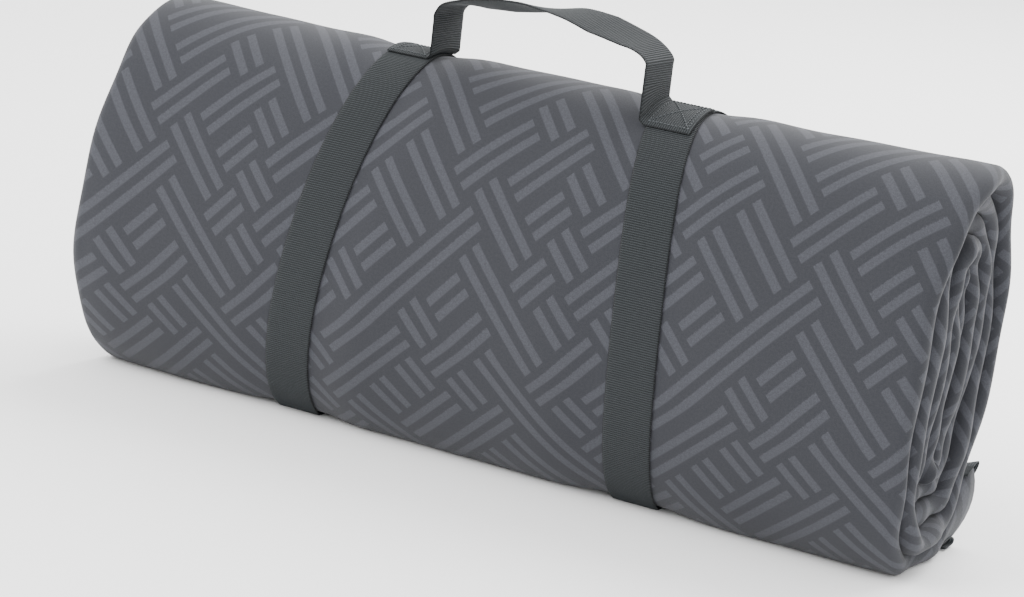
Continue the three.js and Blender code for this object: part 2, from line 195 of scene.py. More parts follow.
def warp(y, z, depth):
    """The turns inside the roll wander together, so they never cross."""
    amount = WARP * np.clip(depth / 0.030, 0, 1)
    return (y + amount * np.sin((z - MIDDLE_Z) / 0.024 + 0.7),
            z + 0.5 * amount * np.sin((y - MIDDLE_Y) / 0.018 + 1.1))


def right_corner(x):
    return np.clip((x - RIGHT_END + CORNER_REACH) / CORNER_REACH, 0, 1) ** 2


def place(turns, depth, x, lip_from=None):
    """Point of the blanket, from the turn count, the depth into that turn and x."""
    turns, depth, x = np.broadcast_arrays(np.asarray(turns, float), depth, x)
    if lip_from is not None:
        near_end = np.clip(1 - (turns - lip_from) / (2.5 * LIP_TURNS), 0, 1.3)
        turns = turns - CORNER_RISE * right_corner(x) * near_end
        lip_from = lip_from - CORNER_RISE * right_corner(x)
    angle = turn_angle(turns)
    total = turn_depth(turns) + depth
    total = total - swell(x, angle, total)
    gape = GAPE * np.exp(-((turns - GAPE_PLACE) / 0.07) ** 2)
    total = total - gape * np.clip((x - RIGHT_END + 0.05) / 0.05, 0, 1) ** 2
    if lip_from is not None:
        curl = np.clip(1 - (turns - lip_from) / LIP_TURNS, 0, 1.3)
        lip = LIP * (0.35 + 0.65 * clear_of_straps(x, angle)) + CORNER_CURL * right_corner(x)
        total = total - lip * curl ** 2
    y, z = oval(total, angle, FOOT_EASE)
    y, z = warp(y, z, total)
    return np.stack([x, y, np.maximum(z, 0.0004 + np.maximum(depth, 0) * 0.6)], axis=-1)


def path_lengths(turns, depth):
    points = place(turns, depth, np.full(len(turns), MIDDLE_X))
    return np.concatenate([[0], np.cumsum(np.linalg.norm(np.diff(points, axis=0), axis=1))])


# ---- Meshes ------------------------------------------------------------------------------------
def new_mesh(name, points, faces, uvs=None, material=None):
    mesh = bpy.data.meshes.new(name)
    mesh.from_pydata([tuple(p) for p in points], [], faces)
    if uvs is not None:
        layer = mesh.uv_layers.new(name="UVMap")
        corners = np.empty(len(mesh.loops), np.int32)
        mesh.loops.foreach_get("vertex_index", corners)
        layer.data.foreach_set("uv", np.asarray(uvs, float)[corners].ravel())
    mesh.polygons.foreach_set("use_smooth", [True] * len(mesh.polygons))
    mesh.validate()
    piece = bpy.data.objects.new(name, mesh)
    bpy.context.scene.collection.objects.link(piece)
    if material is not None:
        piece.data.materials.append(material)
    return piece


def thicken(piece, thickness, offset=-1.0):
    solidify = piece.modifiers.new("thickness", "SOLIDIFY")
    solidify.thickness = thickness
    solidify.offset = offset
    solidify.use_even_offset = False


def cloth_grid(name, points, uvs, used, material):
    """Sheet over a grid of points; rows may leave out columns, and used says which points they keep."""
    rows, columns = used.shape
    index = np.full(used.shape, -1)
    index[used] = np.arange(used.sum())
    faces = []
    for i in range(rows - 1):
        common = np.flatnonzero(used[i] & used[i + 1])
        for a, b in zip(common[:-1], common[1:]):
            here = [index[i, j] for j in range(a, b + 1) if used[i, j]]
            after = [index[i + 1, j] for j in range(b, a - 1, -1) if used[i + 1, j]]
            faces.append(here + after)
    return new_mesh(name, points[used], faces, uvs[used], material)


def ribbon(name, middle, material, thickness=WEBBING, closed=False, ribbed=True):
    """Webbing: middle[i, j] are points down its length and across its width; ribs run across."""
    rows, columns = middle.shape[:2]
    ahead = np.roll(middle, -1, axis=0) - np.roll(middle, 1, axis=0)
    if not closed:
        ahead[0], ahead[-1] = middle[1] - middle[0], middle[-1] - middle[-2]
    across = np.gradient(middle, axis=1)
    normal = np.cross(ahead, across)
    normal /= np.linalg.norm(normal, axis=2, keepdims=True)
    centre = middle[:, columns // 2]
    along = np.concatenate([[0], np.cumsum(np.linalg.norm(np.diff(centre, axis=0), axis=1))])
    share = np.linspace(-1, 1, columns)
    edge = np.sqrt(np.maximum(1 - np.abs(share) ** 6, 0)) * 0.75 + 0.25
    rib = 1 + (0.26 * np.cos(2 * math.pi * along / RIB_PITCH) if ribbed else 0 * along)
    height = (thickness / 2 * rib[:, None] * edge[None, :])[..., None]
    over, under = middle + normal * height, middle - normal * height
    ring = np.concatenate([over, under[:, ::-1]], axis=1)
    width = np.linalg.norm(np.diff(middle[rows // 2], axis=0), axis=1).sum()
    v = (share + 1) / 2 * width
    uv = np.stack(np.broadcast_arrays(along[:, None], np.concatenate([v, v[::-1]])[None]), axis=-1)
    size = 2 * columns
    faces = []
    for i in range(rows if closed else rows - 1):
        n = (i + 1) % rows
        for j in range(size):
            k = (j + 1) % size
            faces.append([i * size + j, n * size + j, n * size + k, i * size + k])
    if not closed:
        faces.append(list(range(size)))
        faces.append(list(range((rows - 1) * size, rows * size))[::-1])
    return new_mesh(name, ring.reshape(-1, 3), faces, uv.reshape(-1, 2), material)


# ---- Node helpers ------------------------------------------------------------------------------
def new_group(name, kind, inputs, outputs):
    group = bpy.data.node_groups.new(name, kind)
    for socket, socket_type, value in inputs:
        made = group.interface.new_socket(name=socket, in_out="INPUT", socket_type=socket_type)
        if value is not None:
            made.default_value = value
    for socket, socket_type in outputs:
        group.interface.new_socket(name=socket, in_out="OUTPUT", socket_type=socket_type)
    return group, group.nodes.new("NodeGroupInput"), group.nodes.new("NodeGroupOutput")


class Wires:
    """Short ways to add shader nodes to one tree."""

    def __init__(self, tree):
        self.tree = tree

    def node(self, kind, **settings):
        made = self.tree.nodes.new(kind)
        for key, value in settings.items():
            setattr(made, key, value)
        return made

    def link(self, source, target):
        if isinstance(source, (int, float, tuple)):
            target.default_value = source
        else:
            self.tree.links.new(source, target)

    def math(self, operation, a, b=0.0, c=0.0, clamp=False):
        made = self.node("ShaderNodeMath", operation=operation, use_clamp=clamp)
        for source, target in zip((a, b, c), made.inputs):
            self.link(source, target)
        return made.outputs[0]

    def dot(self, a, b):
        made = self.node("ShaderNodeVectorMath", operation="DOT_PRODUCT")
        self.link(a, made.inputs[0])
        self.link(b, made.inputs[1])
        return made.outputs["Value"]

    def noise(self, vector, scale, detail=2.0, roughness=0.5):
        made = self.node("ShaderNodeTexNoise")
        self.link(vector, made.inputs["Vector"])
        made.inputs["Scale"].default_value = scale
        made.inputs["Detail"].default_value = detail
        made.inputs["Roughness"].default_value = roughness
        return made.outputs["Fac"]

    def step(self, value, low, high, to_low=0.0, to_high=1.0):
        made = self.node("ShaderNodeMapRange", interpolation_type="SMOOTHSTEP")
        for source, target in zip((value, low, high, to_low, to_high), made.inputs):
            self.link(source, target)
        return made.outputs[0]

    def mix(self, factor, a, b):
        made = self.node("ShaderNodeMix", data_type="RGBA")
        self.link(factor, made.inputs["Factor"])
        self.link(a, made.inputs[6])
        self.link(b, made.inputs[7])
        return made.outputs[2]

    def bump(self, height, strength, distance, normal=None):
        made = self.node("ShaderNodeBump")
        made.inputs["Strength"].default_value = strength
        made.inputs["Distance"].default_value = distance
        self.link(height, made.inputs["Height"])
        if normal is not None:
            self.link(normal, made.inputs["Normal"])
        return made.outputs[0]


def new_material(name, roughness, sheen=0.0, sheen_roughness=0.5):
    material = bpy.data.materials.new(name)
    material.use_nodes = True
    wires = Wires(material.node_tree)
    shader = material.node_tree.nodes["Principled BSDF"]
    shader.inputs["Roughness"].default_value = roughness
    shader.inputs["Specular IOR Level"].default_value = 0.25
    shader.inputs["Sheen Weight"].default_value = sheen
    shader.inputs["Sheen Roughness"].default_value = sheen_roughness
    return material, wires, shader


def grey(red, green, blue, scale=1.0):
    """Linear colour from a seen 0-255 colour."""
    def linear(c):
        c = c / 255
        return scale * (c / 12.92 if c <= 0.04045 else ((c + 0.055) / 1.055) ** 2.4)
    return (linear(red), linear(green), linear(blue), 1.0)


# ---- Node groups that several materials share ----------------------------------------------------
def make_fibre_group():
    """Brushed fibre: a mottled mask and a height, at the size of single fibres and of soft clumps."""
    group, inside, outside = new_group(
        "brushed_fibre", "ShaderNodeTree",
        [("Vector", "NodeSocketVector", None), ("Fine", "NodeSocketFloat", 1500.0),
         ("Clump", "NodeSocketFloat", 160.0)],
        [("Mottle", "NodeSocketFloat"), ("Height", "NodeSocketFloat")])
    wires = Wires(group)
    fine = wires.noise(inside.outputs["Vector"], 1.0, 3.0, 0.65)
    clump = wires.noise(inside.outputs["Vector"], 1.0, 2.0, 0.6)
    wires.link(inside.outputs["Fine"], fine.node.inputs["Scale"])
    wires.link(inside.outputs["Clump"], clump.node.inputs["Scale"])
    mottle = wires.math("MULTIPLY_ADD", fine, 0.7, wires.math("MULTIPLY", clump, 0.3))
    wires.link(mottle, outside.inputs["Mottle"])
    wires.link(wires.math("MULTIPLY_ADD", clump, 0.10, fine), outside.inputs["Height"])
    return group


PRINT_ROWS = ("HVHHHV", "VVHVHV", "VVVVVH", "HHVHHV", "VHHVHH", "VHHVVV",
              "HVVVHV", "VVHVVH", "VHVVVH", "HVVHVH", "HVHVHV", "HHHHHH")
CELL_ALONG = Vector((0.0218, 0.0242))       # one cell down to the right, on the cloth
CELL_ACROSS = Vector((-0.0225, 0.0249))     # one cell down to the left
PRINT_ANCHOR = Vector((0.005, 0.129))       # a cell's centre: x, and the way down from the top
ANCHOR_CELL = (3, 3)


def make_print_group():
    """Woven look of paired bars: a mask from the cloth's own UV, in metres."""
    group, inside, outside = new_group(
        "basket_bars", "ShaderNodeTree",
        [("UV", "NodeSocketVector", None), ("Bar Offset", "NodeSocketFloat", 0.0066),
         ("Bar Half Width", "NodeSocketFloat", 0.0033), ("Softness", "NodeSocketFloat", 0.0006),
         ("Cell", "NodeSocketFloat", 0.0331)],
        [("Bars", "NodeSocketFloat")])
    wires = Wires(group)
    inverse = Matrix(((CELL_ALONG.x, CELL_ACROSS.x), (CELL_ALONG.y, CELL_ACROSS.y))).inverted()
    start = inverse @ PRINT_ANCHOR
    uv = inside.outputs["UV"]
    column = wires.math("ADD", wires.dot(uv, (inverse[0][0], inverse[0][1], 0)), ANCHOR_CELL[0] - start.x)
    row = wires.math("ADD", wires.dot(uv, (inverse[1][0], inverse[1][1], 0)), ANCHOR_CELL[1] - start.y)
    whole_column = wires.math("ROUND", column)
    whole_row = wires.math("ROUND", row)
    in_column = wires.math("SUBTRACT", column, whole_column)
    in_row = wires.math("SUBTRACT", row, whole_row)
    repeat = wires.math("FLOOR", wires.math("DIVIDE", wires.math("ADD", whole_column, 0.25), 6.0))
    column_6 = wires.math("SUBTRACT", whole_column, wires.math("MULTIPLY", repeat, 6.0))
    row_12 = wires.math("FLOORED_MODULO", wires.math("MULTIPLY_ADD", repeat, 6.0, whole_row), 12.0)
    code = 0.5
    for c in range(6):
        bits = sum(1 << r for r in range(12) if PRINT_ROWS[r][c] == "H")
        here = wires.math("COMPARE", column_6, float(c), 0.5)
        code = wires.math("MULTIPLY_ADD", here, float(bits), code)
    shifted = wires.math("FLOOR", wires.math("DIVIDE", code, wires.math("POWER", 2.0, row_12)))
    along = wires.math("FLOORED_MODULO", shifted, 2.0)
    away = wires.math("ADD", wires.math("MULTIPLY", along, in_row),
                      wires.math("MULTIPLY", wires.math("SUBTRACT", 1.0, along), in_column))
    away = wires.math("ABSOLUTE", wires.math("MULTIPLY", away, inside.outputs["Cell"]))
    off_line = wires.math("ABSOLUTE", wires.math("SUBTRACT", away, inside.outputs["Bar Offset"]))
    half = inside.outputs["Bar Half Width"]
    soft = inside.outputs["Softness"]
    mask = wires.step(off_line, wires.math("SUBTRACT", half, soft), wires.math("ADD", half, soft), 1.0, 0.0)
    wires.link(mask, outside.inputs["Bars"])
    return group


def make_weave_group():
    """Ribs across a tape and the fine threads in them, from the tape's own UV, in metres, with a painted rib
    shade and a painted shade line along both edges.
    """
    group, inside, outside = new_group(
        "ribbed_weave", "ShaderNodeTree",
        [("UV", "NodeSocketVector", None), ("Pitch", "NodeSocketFloat", RIB_PITCH),
         ("Width", "NodeSocketFloat", WEBBING_WIDTH)],
        [("Height", "NodeSocketFloat"), ("Shade", "NodeSocketFloat"), ("Painted Edge Shade", "NodeSocketFloat")])
    wires = Wires(group)
    parts = wires.node("ShaderNodeSeparateXYZ")
    wires.link(inside.outputs["UV"], parts.inputs[0])
    along, across = parts.outputs[0], parts.outputs[1]
    turns = wires.math("DIVIDE", along, inside.outputs["Pitch"])
    ribs = wires.math("COSINE", wires.math("MULTIPLY", turns, 2 * math.pi))
    threads = wires.math("SINE", wires.math("MULTIPLY", across, 2 * math.pi / 0.0011))
    middle = wires.math("MULTIPLY", inside.outputs["Width"], 0.5)
    off = wires.math("ABSOLUTE", wires.math("SUBTRACT", across, middle))
    # painted shade line: the colour darkens within about 2 mm of both edges of the tape
    painted_edge_shade = wires.step(wires.math("SUBTRACT", middle, off), 0.0022, 0.0012, 0.0, 1.0)
    height = wires.math("MULTIPLY_ADD", threads, 0.3, ribs)
    wires.link(height, outside.inputs["Height"])
    # painted rib shade: the tape's colour is darker in each rib's trough and lighter on its crest
    wires.link(wires.math("MULTIPLY_ADD", ribs, 0.5, 0.5), outside.inputs["Shade"])
    wires.link(painted_edge_shade, outside.inputs["Painted Edge Shade"])
    return group


FIBRE = make_fibre_group()
PRINT = make_print_group()
WEAVE = make_weave_group()


def use_group(wires, group, **values):
    made = wires.node("ShaderNodeGroup")
    made.node_tree = group
    for key, value in values.items():
        wires.link(value, made.inputs[key.replace("_", " ")])
    return made


# ---- Materials -----------------------------------------------------------------------------------
def printed_cloth():
    material, wires, shader = new_material("printed_cloth", 0.9, 0.10, 0.5)
    uv = wires.node("ShaderNodeUVMap", uv_map="UVMap").outputs[0]
    fibre = use_group(wires, FIBRE, Vector=uv, Fine=1500.0, Clump=520.0)
    drift = wires.math("MULTIPLY", wires.math("SUBTRACT", fibre.outputs["Mottle"], 0.5), 0.0022)
    moved = wires.node("ShaderNodeVectorMath", operation="ADD")
    wires.link(uv, moved.inputs[0])
    wires.link(drift, moved.inputs[1])
    bars = use_group(wires, PRINT, UV=moved.outputs[0]).outputs["Bars"]
    worn = wires.step(fibre.outputs["Mottle"], 0.34, 0.62, 0.72, 1.0)
    cover = wires.math("MULTIPLY", bars, worn)
    ground = wires.mix(wires.step(fibre.outputs["Mottle"], 0.35, 0.65), GROUND_DARK, GROUND_LIGHT)
    bar = wires.mix(wires.step(fibre.outputs["Mottle"], 0.35, 0.65), BAR_DARK, BAR_LIGHT)
    wires.link(wires.mix(cover, ground, bar), shader.inputs["Base Color"])
    rise = wires.math("MULTIPLY_ADD", bars, 0.15, fibre.outputs["Height"])
    wires.link(wires.bump(rise, 0.4, 0.0004), shader.inputs["Normal"])
    return material


def plain_cloth(name, dark, light, roughness, sheen=0.1, fine=1400.0):
    material, wires, shader = new_material(name, roughness, sheen)
    place_at = wires.node("ShaderNodeTexCoord").outputs["Object"]
    fibre = use_group(wires, FIBRE, Vector=place_at, Fine=fine, Clump=220.0)
    wires.link(wires.mix(wires.step(fibre.outputs["Mottle"], 0.35, 0.65), dark, light),
               shader.inputs["Base Color"])
    wires.link(wires.bump(fibre.outputs["Height"], 0.5, 0.0005), shader.inputs["Normal"])
    return material


def webbing_cloth(name, dark, light, pitch=RIB_PITCH, width=WEBBING_WIDTH, strength=0.8):
    material, wires, shader = new_material(name, 0.78, 0.04)
    uv = wires.node("ShaderNodeUVMap", uv_map="UVMap").outputs[0]
    weave = use_group(wires, WEAVE, UV=uv, Pitch=pitch, Width=width)
    fibre = use_group(wires, FIBRE, Vector=uv, Fine=2600.0, Clump=300.0)
    # colour: random fibre mottle mixed with the painted rib shade
    shade = wires.math("MULTIPLY_ADD", fibre.outputs["Mottle"], 0.4,
                       wires.math("MULTIPLY", weave.outputs["Shade"], 0.6))
    tone = wires.step(shade, 0.15, 0.75)
    # a painted shade line darkens both edges of the webbing and the binding tape
    dimmed = wires.math("MULTIPLY", tone, wires.math("MULTIPLY_ADD", weave.outputs["Painted Edge Shade"], -0.85, 1.0))
    wires.link(wires.mix(dimmed, dark, light), shader.inputs["Base Color"])
    height = wires.math("MULTIPLY_ADD", fibre.outputs["Height"], 0.3, weave.outputs["Height"])
    wires.link(wires.bump(height, strength, 0.0003), shader.inputs["Normal"])
    return material


CLOTH_TONE = 0.285         # how dark the dyed cloth is beside its colour as seen in bright light
GROUND_DARK, GROUND_LIGHT = grey(74, 76, 84, CLOTH_TONE), grey(89, 91, 99, CLOTH_TONE)
BAR_DARK, BAR_LIGHT = grey(101, 103, 112, CLOTH_TONE), grey(119, 121, 131, CLOTH_TONE)
PRINTED_CLOTH = printed_cloth()
BACKING_CLOTH = plain_cloth("backing_cloth", grey(52, 55, 60, 0.34), grey(66, 69, 74, 0.34), 0.6, 0.05)
WADDING = plain_cloth("wadding", grey(180, 180, 176), grey(205, 205, 200), 0.95, 0.3, 600.0)
WEBBING_CLOTH = webbing_cloth("webbing", grey(38, 43, 46, 0.26), grey(90, 97, 101, 0.26))
BINDING_TAPE = webbing_cloth("binding_tape", grey(50, 56, 60, 0.32), grey(96, 102, 108, 0.32),
                             0.0019, 0.024, 0.7)
THREAD = plain_cloth("thread", grey(74, 80, 84, 0.36), grey(104, 110, 115, 0.36), 0.6, 0.1, 3000.0)
PILE = plain_cloth("hook_and_loop", grey(48, 52, 56, 0.34), grey(74, 79, 83, 0.34), 0.95, 0.1, 2200.0)


# ---- The blanket's cloth ---------------------------------------------------------------------------
def turn_rows(outer_rows, inner_rows):
    """Turn counts down the blanket, finer on the outer turn."""
    outer = np.linspace(0, 1.16, int(1.16 * outer_rows))
    inner = np.linspace(1.16, TURNS, int((TURNS - 1.16) * inner_rows))[1:]
    return np.concatenate([outer, inner]), len(outer)


def leaf_columns(reach, fine):
    """X across the long leaf from fold to fold, and which of them every row keeps."""
    fold_start = reach - STACK / 2
    close = np.array((0.0, 0.003, 0.007, 0.012, 0.018, 0.026, 0.036))
    count = int(round(2 * (fold_start - close[-1]) / fine))
    middle = np.linspace(-fold_start + close[-1], fold_start - close[-1], count + 1)[1:-1]
    xs = np.concatenate([-fold_start + close, middle, fold_start - close[::-1]])
    kept = np.ones(len(xs), bool)
    kept[len(close):len(close) + len(middle)] = np.arange(len(middle)) % 7 == 3
    return xs, kept


def fold_reach(turns, side):
    """How far each turn's fold stands past the others at one end; side is -1 or 1."""
    slump = LEFT_SLUMP * np.exp(-((turns - 0.38) / 0.16) ** 2) if side < 0 else 0.0
    return (slump + 0.0034 * np.sin(2.1 * turns + 0.4 - side) + 0.0030 * np.sin(8.5 * turns + 1.0 + 2 * side)
            + 0.0016 * np.sin(23 * turns) + 0.0010 * np.sin(61 * turns + side)
            - 0.0018 * np.maximum(turns - 1, 0))


def shifted_x(x, turns):
    """X with each turn's own reach eased in towards the two ends."""
    to_right = np.clip((x - RIGHT_END + 0.09) / 0.09, 0, 1) ** 2
    to_left = np.clip((LEFT_END + 0.09 - x) / 0.09, 0, 1) ** 2
    return x + to_right * fold_reach(turns, 1) - to_left * fold_reach(turns, -1)


def folded_cloth(name, outer, inner, rows, fine_rows, material, fold_steps=10, fine=0.0075):
    """Cloth over the long leaf, round the fold at each end and back under it along the two flaps."""
    xs, kept = leaf_columns(RIGHT_END, fine)
    radius = (inner - outer) / 2
    turn = np.linspace(0, math.pi, fold_steps + 1)[1:-1]
    flap = xs[xs > FLAP_EDGE + fine][::-1]
    flap_kept = kept[xs > FLAP_EDGE + fine][::-1]
    right_x = np.concatenate([RIGHT_END - STACK / 2 + radius * np.sin(turn), flap, [FLAP_EDGE]])
    right_depth = np.concatenate([(outer + inner) / 2 - radius * np.cos(turn), np.full(len(flap) + 1, inner)])
    right_kept = np.concatenate([np.ones(len(turn), bool), flap_kept, [True]])
    x = np.concatenate([-right_x[::-1], xs, right_x])
    depth = np.concatenate([right_depth[::-1], np.full(len(xs), outer), right_depth])
    always = np.concatenate([right_kept[::-1], kept, right_kept])
    place_in_row = np.arange(len(x)) - len(right_x)
    on_leaf = (place_in_row >= 0) & (place_in_row < len(xs))
    past = np.maximum(-place_in_row, place_in_row - len(xs) + 1)
    share = np.clip(past / len(turn), 0, 1)
    short = OUTER_LEAF_SHORT * (1 - share)[None, :] * np.clip(1 - rows / 0.35, 0, 1)[:, None]
    turns = rows[:, None] + short
    lip_from = (OUTER_LEAF_SHORT * (1 - share))[None, :]
    points = place(turns, depth[None, :], shifted_x(np.broadcast_to(x, turns.shape), turns), lip_from)
    lengths = path_lengths(rows, 0.0)
    top = np.interp(angle_turns(math.pi / 2 - 2 * math.pi), rows, lengths)
    down = top - lengths
    flat = np.concatenate([[0], np.cumsum(np.hypot(np.diff(x), np.diff(depth)))])
    flat = flat - (flat[0] + flat[-1]) / 2
    uvs = np.stack(np.broadcast_arrays(flat[None, :], down[:, None]), axis=-1)
    fine_row = np.arange(len(rows)) < fine_rows
    used = always[None, :] | (fine_row[:, None] & on_leaf[None, :]) | (rows < 0.14)[:, None]
    piece = cloth_grid(name, points, uvs, used, material)
    length = (path_lengths(rows, outer)[-1] + path_lengths(rows, inner)[-1]) / 2
    return piece, float(length), float(flat[-1] - flat[0])


def add_blanket():
    rows, fine_rows = turn_rows(120, 84)
    face, length, width = folded_cloth("printed_face_cloth", 0.0, STACK, rows, fine_rows, PRINTED_CLOTH)
    thicken(face, CLOTH)
    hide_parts("printed_face")
    finish_piece(face, "roll")

    coarse, count = turn_rows(72, 56)
    backing, length, width = folded_cloth("backing_cloth", LEAF + 0.0004, STACK - LEAF - 0.0004, coarse, count,
                                          BACKING_CLOTH, 4, 0.015)
    thicken(backing, CLOTH / 3)
    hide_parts("backing")
    finish_piece(backing, "roll")

    inset = CLOTH + WADDING_CLEARANCE
    short = int((coarse < WADDING_SHORT).sum())
    coarse, count = coarse[short:], count - short
    filling, length, width = folded_cloth("wadding_sheet", inset, STACK - inset, coarse, count, WADDING, 6, 0.015)
    thicken(filling, LEAF - inset - CLOTH)
    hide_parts("wadding")
    finish_piece(filling, "roll")


def finish_piece(piece, body):
    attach(piece, body)


# ---- Binding tapes -----------------------------------------------------------------------------------
TAPE_COVER = 0.009        # how far the tape reaches over each face


def wrap_profile(near, far, cover, ahead):
    """Points (way past the edge, depth) of tape round an edge that lies between two depths."""
    half = (far - near) / 2
    turn = np.linspace(-math.pi / 2, math.pi / 2, 7)
    flat = np.linspace(-cover, -half, 4)[:-1]
    way = np.concatenate([flat, ahead + half * (np.cos(turn) - 1), flat[::-1]])
    depth = np.concatenate([np.full(3, near), (near + far) / 2 + half * np.sin(turn), np.full(3, far)])
    return way, depth


def side_tape(name, side, node):
    """Tape down the inner edge of one flap, through every turn; side is -1 or 1."""
    rows = np.linspace(0, TURNS, 430)
    near, far = STACK - LEAF, STACK
    way, depth = wrap_profile(near - 0.0005, far + 0.0005, TAPE_COVER, 0.0016)
    x = side * (FLAP_EDGE - way)
    turns = np.broadcast_to(rows[:, None], (len(rows), len(way)))
    points = place(turns, depth[None, :], np.broadcast_to(x, turns.shape), np.zeros(turns.shape))
    lengths = path_lengths(rows, (near + far) / 2)
    flat = np.concatenate([[0], np.cumsum(np.hypot(np.diff(way), np.diff(depth)))])
    uvs = np.stack(np.broadcast_arrays(lengths[:, None], flat[None, :]), axis=-1)
    if side > 0:
        points, uvs = points[:, ::-1], uvs[:, ::-1]
    piece = cloth_grid(name, points, uvs, np.ones(turns.shape, bool), BINDING_TAPE)
    thicken(piece, TAPE, 0.0)
    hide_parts(node)
    finish_piece(piece, "roll")


def end_tape(name, near, far, edge, forward, span, node):
    """Tape along a leaf's end, over the span (low x, high x)."""
    xs = np.linspace(span[0], span[1], int((span[1] - span[0]) / 0.0046))
    way, depth = wrap_profile(near - 0.0006, far + 0.0006, TAPE_COVER, 0.0018)
    per_metre = 1 / 0.62 if edge < 1 else 1 / 0.20
    turns = edge + forward * way * per_metre
    at = np.broadcast_to(turns[None, :], (len(xs), len(way)))
    x = shifted_x(np.broadcast_to(xs[:, None], at.shape), at)
    lip = np.full(at.shape, edge) if edge < 1 else None
    points = place(at, depth[None, :], x, lip)
    flat = np.concatenate([[0], np.cumsum(np.linalg.norm(np.diff(points[len(xs) // 3], axis=0), axis=1))])
    uvs = np.stack(np.broadcast_arrays((xs - xs[0])[:, None], flat[None, :]), axis=-1)
    if forward > 0:
        points, uvs = points[:, ::-1], uvs[:, ::-1]
    piece = cloth_grid(name, points, uvs, np.ones(at.shape, bool), BINDING_TAPE)
    thicken(piece, TAPE, 0.0)
    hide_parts(node)
    finish_piece(piece, "roll")


def add_bindings():
    side_tape("side_tape_left", -1, "side_binding_left")
    side_tape("side_tape_right", 1, "side_binding_right")
    reach = RIGHT_END - 0.003
    under = STACK - LEAF
    end_tape("end_tape_leaf", 0.0, LEAF, OUTER_LEAF_SHORT, -1, (-reach, reach), "end_binding_leaf")
    end_tape("end_tape_left_flap", under, STACK, 0.0, -1, (-reach, -FLAP_EDGE), "end_binding_left_flap")
    end_tape("end_tape_right_flap", under, STACK, 0.0, -1, (FLAP_EDGE, reach), "end_binding_right_flap")
    end_tape("core_end_tape", 0.0, STACK, TURNS, 1, (-reach, reach), "core_end_binding")


# ---- Straps, tails and the handle -------------------------------------------------------------------
ACROSS = np.concatenate([[-1, -0.94, -0.85], np.linspace(-0.7, 0.7, 7), [0.85, 0.94, 1]])
RIB_ROWS = 3              # rows of points for each rib


def strap_points(strap, angles, raised, width=WEBBING_WIDTH):
    """Points over the roll that follow a strap, raised above the surface that it lies on."""
    y, z = oval(strap_depth(angles) - raised, angles)
    x = strap_x(strap, angles)
    side = ACROSS * width / 2
    shape = (len(angles), len(side))
    return np.stack([x[:, None] + side[None, :], np.broadcast_to(y[:, None], shape),
                     np.broadcast_to(z[:, None], shape)], axis=-1)


def evenly(points, spacing, closed=False):
    """The rows of points again, spaced evenly along the middle."""
    if closed:
        points = np.concatenate([points, points[:1]])
    centre = points[:, points.shape[1] // 2]
    along = np.concatenate([[0], np.cumsum(np.linalg.norm(np.diff(centre, axis=0), axis=1))])
    count = max(2, int(round(along[-1] / spacing)))
    at = np.linspace(0, along[-1], count + 1)
    flat = points.reshape(len(points), -1)
    out = np.stack([np.interp(at, along, flat[:, k]) for k in range(flat.shape[1])], axis=1)
    out = out.reshape(len(at), points.shape[1], 3)
    return out[:-1] if closed else out


def add_strap(side, strap):
    angles = np.linspace(INNER_LEAF_END, INNER_LEAF_END - 2 * math.pi, 721)[:-1]
    points = strap_points(strap, angles, LAY_GAP + WEBBING / 2)
    band = ribbon(f"{side}_strap_webbing", evenly(points, RIB_PITCH / RIB_ROWS, True), WEBBING_CLOTH,
                  closed=True)
    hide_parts(f"{side}_strap")
    finish_piece(band, "roll")


TAIL_TOP = math.radians(18)
TAIL_END = math.radians(-17)
TACK_TOP = math.radians(27)


def add_tail(side, strap):
    """Tack and tail in one length: sewn down above, lying over the two pads below."""
    angles = np.linspace(TACK_TOP, TAIL_END, 160)
    lift = np.clip((TAIL_TOP + math.radians(1.5) - angles) / math.radians(5), 0, 1)
    lift = lift * lift * (3 - 2 * lift)
    raised = SECOND_LAYER + (TAIL_LAYER - SECOND_LAYER) * lift
    points = strap_points(strap, angles, raised)
    tail = ribbon(f"{side}_tail_webbing", evenly(points, RIB_PITCH / RIB_ROWS), WEBBING_CLOTH)
    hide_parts(f"{side}_strap_tail", f"{side}_tail_tack")
    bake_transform(tail)
    for node in (f"{side}_hook_pad", f"{side}_loop_pad"):
        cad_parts[node].data.materials.clear()
        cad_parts[node].data.materials.append(PILE)


LEFT_ROOT = MIDDLE_X + LEFT_STRAP["top"] + WEBBING_WIDTH / 2
RIGHT_ROOT = MIDDLE_X + RIGHT_STRAP["top"] - WEBBING_WIDTH / 2
SKEW = math.atan2(HANDLE_FRONT - HANDLE_BACK, RIGHT_ROOT - LEFT_ROOT)
HANDLE_SPAN = (RIGHT_ROOT - LEFT_ROOT) / math.cos(SKEW)
HANDLE_MIDDLE = Vector(((LEFT_ROOT + RIGHT_ROOT) / 2, MIDDLE_Y + (HANDLE_BACK + HANDLE_FRONT) / 2))
TOP_ANGLES = np.linspace(math.radians(150), math.radians(30), 400)


def top_height(y, raised):
    """Height of the strap's bed at a given y, raised by so much."""
    at_y, at_z = oval(strap_depth(TOP_ANGLES - 2 * math.pi) - raised, TOP_ANGLES)
    return np.interp(y, at_y, at_z)


ROLL_TOP = STRAP_HIGH
ARCH_TOP = ROLL_TOP + HANDLE_RISE
ARCH = ((-0.985, 26), (-0.94, 21.5), (-0.72, 17.5), (-0.42, 13.5), (-0.1, 10), (0.18, 8.5), (0.45, 12),
        (0.70, 16.5), (0.86, 20), (0.955, 24.5))
# Share of the half span, and how far the webbing is turned there: + tips the front edge down.
TWIST = ((-1.1, 0), (-0.98, -4), (-0.75, -19), (-0.5, -21), (-0.2, -14), (0.15, 4), (0.45, 13),
         (0.75, 12), (0.95, 4), (1.1, 0))


